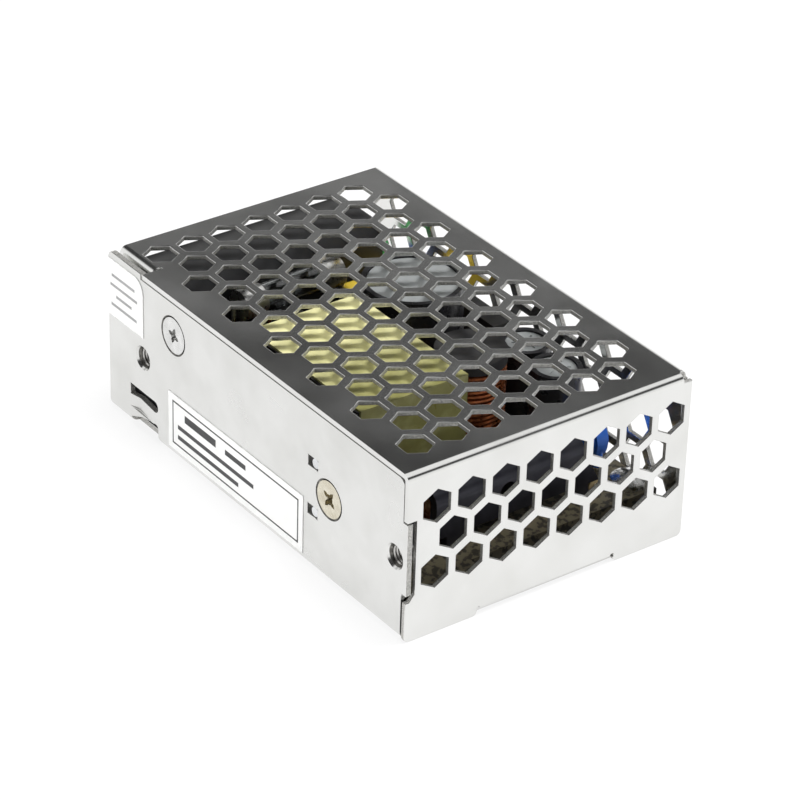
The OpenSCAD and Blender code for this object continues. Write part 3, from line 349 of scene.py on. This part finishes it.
def moulded(name, colour, dull, rough_low, rough_high, grain):
    finish, tree, shader = new_finish(name, colour, 0.0, rough_low)
    wear(tree, shader, 2.5 * mm, rough_low, rough_high)
    tint(tree, shader, spread(tree, cloud(tree, 3.2 * mm, 4.0), 0, 1), colour, dull)
    relief(tree, shader, cloud(tree, grain, 2.0), 0.15, 0.04 * mm)
    return finish


black_resin = moulded("black_moulding_resin", (0.018, 0.018, 0.020), (0.032, 0.031, 0.030), 0.38,
                      0.55, 0.12 * mm)
dress(black_resin, "power_transistor", "output_diode", "bridge_rectifier", "optocoupler",
      "control_chip")


# Insulation film, spacers and board screws
# A black film lies on the chassis floor under the board. Four hexagonal brass spacers
# stand through it and carry the board, and pan-head screws hold the board down.
dress(moulded("black_insulation_film", (0.022, 0.022, 0.024), (0.035, 0.035, 0.037), 0.3, 0.45,
              0.5 * mm), "insulation_sheet")
spacer_brass, tree, shader = new_finish("turned_brass", (0.78, 0.62, 0.30), 1.0, 0.3)
wear(tree, shader, 1.0 * mm, 0.2, 0.4)
dress(spacer_brass, "board_spacers")


# Circuit board
# Dull brown laminate, punched at its lead holes and blotched with black lacquer and flux.
# The leads of every part go through it and end in cones of solder underneath.
# The laminate's brown is set darker than the bare board, a painted shade for the inside of the
# case. The black blotches are its own.
laminate_painted_shade, tree, shader = new_finish("paper_laminate_painted_shade", (0.13, 0.115, 0.075), 0.0, 0.5)
tint(tree, shader, spread(tree, cloud(tree, 0.9 * mm, 5.0), 0, 1, 0.50, 0.56),
     (0.135, 0.118, 0.078), (0.035, 0.032, 0.024))
wear(tree, shader, 4 * mm, 0.4, 0.6)
relief(tree, shader, cloud(tree, 0.3 * mm, 3.0, (0.3, 1, 1)), 0.12, 0.04 * mm)
dress(laminate_painted_shade, "circuit_board")
tinned, tree, shader = new_finish("tinned_wire", (0.74, 0.74, 0.72), 1.0, 0.3)
wear(tree, shader, 0.8 * mm, 0.22, 0.42)
dress(tinned, "component_leads")
solder, tree, shader = new_finish("solder_metal", (0.70, 0.70, 0.69), 1.0, 0.25)
wear(tree, shader, 0.7 * mm, 0.15, 0.35)
relief(tree, shader, cloud(tree, 0.6 * mm), 0.2, 0.08 * mm)
dress(solder, "solder_joints")


# Terminal block
# Five cells moulded in black flame-retardant plastic, each with a tinned contact, a
# square washer and a combination-head screw that draws the washer against the contact.
black_plastic = moulded("black_moulded_plastic", (0.014, 0.014, 0.015), (0.024, 0.024, 0.025), 0.3,
                        0.45, 0.18 * mm)
dress(black_plastic, "terminal_body", "transformer_bobbin")
dress(tinned, "terminal_contacts")
terminal_plating = screw_metal("terminal_nickel", (0.78, 0.76, 0.70), (0.62, 0.60, 0.54))
for pole in range(1, 6):
    dress(terminal_plating, f"clamp_washer_{pole}", f"terminal_screw_{pole}")


# Voltage trimmer and indicator lamp
# Beside the terminals stand a blue trimmer with a white slotted rotor and, above it, a
# green lamp on bent legs, both facing the open end.
dress(moulded("blue_trimmer_plastic", (0.02, 0.07, 0.30), (0.03, 0.10, 0.36), 0.3, 0.42,
              0.15 * mm), "trimmer_body")
dress(moulded("white_rotor_plastic", (0.80, 0.80, 0.76), (0.70, 0.70, 0.66), 0.35, 0.5,
              0.15 * mm), "trimmer_rotor")
lamp_resin, tree, shader = new_finish("green_lamp_resin", (0.10, 0.55, 0.16), 0.0, 0.12)
shader.inputs["Transmission Weight"].default_value = 0.5
shader.inputs["IOR"].default_value = 1.5
wear(tree, shader, 1.5 * mm, 0.08, 0.2)
dress(lamp_resin, "indicator_led")


# Fuse
# A clear glass cartridge with plated end caps, carried above the board on its own bent
# wires so that it stays clear of the other parts.
fuse_clear, tree, shader = new_finish("fuse_glass", (0.93, 0.96, 0.96), 0.0, 0.03)
shader.inputs["Transmission Weight"].default_value = 1.0
shader.inputs["IOR"].default_value = 1.47
wear(tree, shader, 3 * mm, 0.01, 0.06)
dress(fuse_clear, "fuse_glass")
dress(tinned, "fuse_caps")


# Thermistor, mains filter and mains capacitor
# A dark green dipped disc, a ferrite frame with two enamelled copper windings and a
# yellow box capacitor stand between the terminals and the transformer.
dress(moulded("dark_disc_coating", (0.012, 0.030, 0.018), (0.02, 0.045, 0.03), 0.3, 0.45,
              0.4 * mm), "inrush_thermistor")
ferrite = moulded("sintered_ferrite", (0.028, 0.028, 0.030), (0.045, 0.044, 0.043), 0.45, 0.65,
                  0.1 * mm)
dress(ferrite, "line_filter_core", "transformer_core", "output_choke_core")
dress(moulded("yellow_box_plastic", (0.62, 0.44, 0.04), (0.70, 0.52, 0.07), 0.3, 0.45,
              0.2 * mm), "line_capacitor")

enamel, tree, shader = new_finish("enamelled_copper", (0.42, 0.13, 0.045), 0.7, 0.28)
wear(tree, shader, 1.2 * mm, 0.2, 0.38)
tint(tree, shader, spread(tree, cloud(tree, 1.5 * mm, 3.0), 0, 1), (0.46, 0.15, 0.05),
     (0.30, 0.08, 0.03))


filter_mid = box_middle("line_filter_core")[0]
wind_mid, wind_low, wind_high = box_middle("line_filter_winding")
coil_r = (wind_high.y - wind_low.y) / 2
wire_r, wire_pitch = 0.26 * mm, 0.53 * mm


def filter_coils(shape):
    for side in (-1, 1):
        x = filter_mid.x + side * ((wind_high.x - wind_low.x) / 2 - coil_r)
        foot = Vector((x, wind_mid.y, wind_low.z + wire_r))
        height = wind_high.z - wind_low.z - 2 * wire_r
        wind_helix(shape, foot, (0, 0, 1), coil_r - wire_r, wire_r, wire_pitch,
                   height / wire_pitch, steps=24, sides=6)


add_piece("line_filter_coils", filter_coils, enamel, "case")
dress(enamel, "line_filter_winding")


# Bulk capacitor and output capacitors
# Aluminium cans in black shrink sleeves that curl over their tops. The large one has a
# plain top, and the two small ones by the output have a scored vent.
can_metal, tree, shader = new_finish("can_aluminium", (0.42, 0.44, 0.44), 0.35, 0.42)
wear(tree, shader, 1.8 * mm, 0.38, 0.52)
relief(tree, shader, cloud(tree, 0.3 * mm), 0.06, 0.04 * mm)
dress(can_metal, "bulk_capacitor_can", "output_capacitor_cans")
black_sleeve = moulded("black_shrink_sleeve", (0.016, 0.016, 0.018), (0.024, 0.024, 0.027), 0.22,
                       0.36, 0.6 * mm)
dress(black_sleeve, "bulk_capacitor_sleeve", "output_capacitor_sleeves")


# Transformer
# Two ferrite halves on a black bobbin, held together by bands of yellow polyester tape
# that also cover the winding. The tape is painted from pale yellow to dark olive towards the output
# end, a painted shade.
tape, tree, shader = new_finish("yellow_polyester_tape", (0.74, 0.70, 0.36), 0.0, 0.3)
tape_place = tree.nodes.new("ShaderNodeTexCoord")
tape_split = tree.nodes.new("ShaderNodeSeparateXYZ")
tree.links.new(tape_place.outputs["Object"], tape_split.inputs[0])
# Painted shade: the tape's colour runs from pale yellow to dark olive along x, with random blotches
# added on top.
shade_start_x, shade_full_x = -6 * mm, 16 * mm
painted_shade_ramp = spread(tree, tape_split.outputs["X"], 0, 1, shade_start_x, shade_full_x)
shade_and_blotch = tree.nodes.new("ShaderNodeMath")
shade_and_blotch.operation = "ADD"
shade_and_blotch.use_clamp = True
tree.links.new(painted_shade_ramp, shade_and_blotch.inputs[0])
tree.links.new(spread(tree, cloud(tree, 4 * mm, 4.0), -0.25, 0.25), shade_and_blotch.inputs[1])
tint(tree, shader, shade_and_blotch.outputs[0], (0.80, 0.77, 0.42), (0.26, 0.25, 0.085))
wear(tree, shader, 2 * mm, 0.25, 0.42)
relief(tree, shader, cloud(tree, 1.4 * mm, 3.0, (0.35, 1, 1)), 0.3, 0.12 * mm)
dress(tape, "transformer_tape", "transformer_winding")


# Output choke
# A ferrite drum core wound with a single layer of thick enamelled copper wire, standing
# on the board beside the transformer.
choke_mid, choke_low, choke_high = box_middle("output_choke_winding")
choke_r = (choke_high.x - choke_low.x) / 2
thick_wire, thick_pitch = 0.38 * mm, 0.78 * mm
coil_proud = 0.05 * mm


def choke_coil(shape):
    height = choke_high.z - choke_low.z - 2 * thick_wire
    foot = Vector((choke_mid.x, choke_mid.y, choke_low.z + thick_wire))
    wind_helix(shape, foot, (0, 0, 1), choke_r + coil_proud, thick_wire, thick_pitch,
               height / thick_pitch, steps=40, sides=8)


add_piece("output_choke_coil", choke_coil, enamel, "case")
dress(enamel, "output_choke_winding")


# Output heat sink
# Black anodised sheet standing across the perforated end, its top edge turned inwards,
# with the output diode screwed flat on the inside.
anodised, tree, shader = new_finish("black_anodised", (0.035, 0.035, 0.045), 0.6, 0.35)
tint(tree, shader, spread(tree, cloud(tree, 4 * mm, 4.0), 0, 1), (0.032, 0.032, 0.042),
     (0.055, 0.055, 0.066))
wear(tree, shader, 2 * mm, 0.28, 0.45)
dress(anodised, "output_heat_sink")


# Small dipped and wire-ended parts
# A blue safety disc, a red-brown film capacitor and a few resistors, all standing on
# the board between the transformer and the heat sink.
dress(moulded("blue_disc_coating", (0.015, 0.09, 0.42), (0.02, 0.12, 0.50), 0.25, 0.4,
              0.5 * mm), "safety_capacitor")
dress(moulded("red_brown_coating", (0.20, 0.035, 0.015), (0.26, 0.05, 0.02), 0.2, 0.35,
              0.6 * mm), "film_capacitor")
dress(moulded("tan_resistor_coating", (0.55, 0.42, 0.22), (0.60, 0.47, 0.27), 0.4, 0.55,
              0.3 * mm), "resistors")


# Labels
# A nameplate with a thin printed border and plain bars, and a smaller seal over the
# corner of the case, both of white film stuck to the side wall.
label_film = moulded("label_film", (0.80, 0.80, 0.79), (0.76, 0.76, 0.75), 0.4, 0.55, 0.5 * mm)
dress(label_film, "nameplate_label", "seal_label")
ink = moulded("label_ink", (0.02, 0.02, 0.022), (0.035, 0.035, 0.036), 0.4, 0.5, 0.3 * mm)
grey_ink = moulded("pale_label_ink", (0.25, 0.25, 0.25), (0.32, 0.32, 0.32), 0.4, 0.5, 0.3 * mm)
_, name_low, name_high = box_middle("nameplate_label")
seal_low = box_middle("seal_label")[1]
print_t, print_proud = 0.02 * mm, 0.001 * mm


def flat_bar(shape, y, x0, z0, x1, z1):
    corners = [shape.verts.new((x, y, z)) for x, z in ((x0, z0), (x1, z0), (x1, z1), (x0, z1))]
    return shape.faces.new(corners)


def print_rows(face_y, low, rows):
    def build(shape):
        for x, z, length, height in rows:
            flat_bar(shape, face_y, low.x + x * mm, low.z + z * mm, low.x + (x + length) * mm,
                     low.z + (z + height) * mm)
        grown = bmesh.ops.extrude_face_region(shape, geom=shape.faces[:])
        moved = [g for g in grown["geom"] if isinstance(g, bmesh.types.BMVert)]
        bmesh.ops.translate(shape, vec=(0, print_t, 0), verts=moved)
        bmesh.ops.recalc_face_normals(shape, faces=shape.faces[:])
    return build


print_y = name_low.y - print_proud
border = 0.3
name_l, name_h = (name_high.x - name_low.x) / mm, (name_high.z - name_low.z) / mm
inset = 1.1
name_rows = [
    (inset, inset, name_l - 2 * inset, border),
    (inset, name_h - inset - border, name_l - 2 * inset, border),
    (inset, inset, border, name_h - 2 * inset),
    (name_l - inset - border, inset, border, name_h - 2 * inset),
    (4.5, 6.2, 8.5, 1.3), (15.5, 6.3, 5.5, 0.9),
    (2.6, 4.2, 20.5, 0.75), (2.6, 2.4, 16.5, 0.75),
]
add_piece("nameplate_print", print_rows(print_y, name_low, name_rows), ink, "case",
          smooth=False)
seal_rows = [(1.0, 6.9, 6.5, 0.5), (0.6, 5.2, 7.6, 0.5), (2.2, 3.5, 4.4, 0.5), (0.8, 1.8, 7.2, 0.5)]
add_piece("seal_print", print_rows(print_y, seal_low, seal_rows), grey_ink, "case",
          smooth=False)


# Studio
# A plain white floor, soft lamps in front, above and behind, and a dark ceiling with two
# bright panels that only metal mirrors, so the cover's top goes grey.
def larger(tree, one, other):
    pick = tree.nodes.new("ShaderNodeMath")
    pick.operation = "MAXIMUM"
    tree.links.new(one, pick.inputs[0])
    tree.links.new(other, pick.inputs[1])
    return pick.outputs[0]


def seen_directly(tree):
    """1 for camera, glossy and transmission rays, 0 for the rays that light things."""
    rays = tree.nodes.new("ShaderNodeLightPath").outputs
    seen = larger(tree, rays["Is Camera Ray"], rays["Is Glossy Ray"])
    return larger(tree, seen, rays["Is Transmission Ray"])


floor_white, floor_glow, floor_size = 0.9, 0.85, 3.0
floor_finish, tree, floor_shader = new_finish("studio_floor_white", (floor_white,) * 3, 0.0, 0.9)
white = tree.nodes.new("ShaderNodeEmission")
white.inputs["Color"].default_value = (1, 1, 1, 1)
mix = tree.nodes.new("ShaderNodeMixShader")
tree.links.new(spread(tree, seen_directly(tree), 0, floor_glow, 0, 1), mix.inputs[0])
tree.links.new(floor_shader.outputs[0], mix.inputs[1])
tree.links.new(white.outputs[0], mix.inputs[2])
tree.links.new(mix.outputs[0], tree.nodes["Material Output"].inputs["Surface"])


def stage_object(name, build, finish):
    data = bpy.data.meshes.new(name)
    shape = bmesh.new()
    build(shape)
    shape.to_mesh(data)
    shape.free()
    data.materials.append(finish)
    thing = bpy.data.objects.new(name, data)
    bpy.context.scene.collection.objects.link(thing)
    return thing


stage_object("studio_floor", lambda shape: bmesh.ops.create_grid(
    shape, x_segments=1, y_segments=1, size=floor_size), floor_finish)

ceiling_finish = bpy.data.materials.new("studio_ceiling_grey")
ceiling_finish.use_nodes = True
tree = ceiling_finish.node_tree
tree.nodes.clear()
output = tree.nodes.new("ShaderNodeOutputMaterial")
glow = tree.nodes.new("ShaderNodeEmission")
place = tree.nodes.new("ShaderNodeTexCoord")
split = tree.nodes.new("ShaderNodeSeparateXYZ")
fall = tree.nodes.new("ShaderNodeValToRGB")
stops = ((0.0, 1.0), (0.30, 1.0), (0.42, 0.22), (0.46, 0.155), (0.505, 0.075), (0.54, 0.045),
         (1.0, 0.04))
ramp = fall.color_ramp
ramp.elements[0].position, ramp.elements[1].position = stops[0][0], stops[-1][0]
for position, _ in stops[1:-1]:
    ramp.elements.new(position)
for element, (_, level) in zip(ramp.elements, stops):
    element.color = (level, level, level, 1)
scale = tree.nodes.new("ShaderNodeMath")
scale.operation = "DIVIDE"
dome_r = 2.5
scale.inputs[1].default_value = dome_r
tree.links.new(place.outputs["Object"], split.inputs[0])
tree.links.new(split.outputs["Z"], scale.inputs[0])
tree.links.new(scale.outputs[0], fall.inputs["Fac"])
front = spread(tree, split.outputs["Y"], 1, 0, -0.4 * dome_r, -0.2 * dome_r)
left = spread(tree, split.outputs["X"], 1, 0, -0.5 * dome_r, -0.35 * dome_r)
high = spread(tree, split.outputs["Z"], 0, 1, 0.68 * dome_r, 0.76 * dome_r)
back = spread(tree, split.outputs["Y"], 0, 1, 0.3 * dome_r, 0.4 * dome_r)
panels = []
for one, other in ((front, left), (high, back)):
    panel = tree.nodes.new("ShaderNodeMath")
    panel.operation = "MULTIPLY"
    tree.links.new(one, panel.inputs[0])
    tree.links.new(other, panel.inputs[1])
    panels.append(panel.outputs[0])
lit = tree.nodes.new("ShaderNodeMix")
lit.data_type = "RGBA"
lit.inputs[7].default_value = (1, 1, 1, 1)
tree.links.new(larger(tree, *panels), lit.inputs[0])
tree.links.new(fall.outputs["Color"], lit.inputs[6])
tree.links.new(lit.outputs[2], glow.inputs["Color"])
tree.links.new(glow.outputs[0], output.inputs["Surface"])


def half_dome(shape):
    bmesh.ops.create_uvsphere(shape, u_segments=64, v_segments=48, radius=dome_r)
    low = [v for v in shape.verts if v.co.z < 0.001]
    bmesh.ops.delete(shape, geom=low, context="VERTS")


ceiling = stage_object("studio_ceiling", half_dome, ceiling_finish)
ceiling.visible_camera = False
ceiling.visible_diffuse = False
ceiling.visible_shadow = False
ceiling.visible_transmission = False


def soft_lamp(name, place_at, size, power):
    data = bpy.data.lights.new(name, "AREA")
    data.shape = "DISK"
    data.size = size
    data.energy = power
    lamp = bpy.data.objects.new(name, data)
    lamp.location = place_at
    aim = Vector((0, 0, 0.01)) - Vector(place_at)
    lamp.rotation_euler = aim.to_track_quat("-Z", "Y").to_euler()
    lamp.visible_glossy = False
    bpy.context.scene.collection.objects.link(lamp)


soft_lamp("front_lamp", (-0.1, -1.2, 0.2), 0.5, 9)
soft_lamp("top_lamp", (0.1, 0.05, 1.2), 0.5, 13)
soft_lamp("back_lamp", (0.3, 0.95, 0.6), 0.6, 12)

world = bpy.data.worlds.new("studio_world")
world.use_nodes = True
bpy.context.scene.world = world
tree = world.node_tree
background = tree.nodes["Background"]
background.inputs["Color"].default_value = (1, 1, 1, 1)
room_light, backdrop_light = 0.3, 1.0
tree.links.new(spread(tree, seen_directly(tree), room_light, backdrop_light, 0, 1),
               background.inputs["Strength"])
bpy.context.scene.view_settings.view_transform = "Standard"
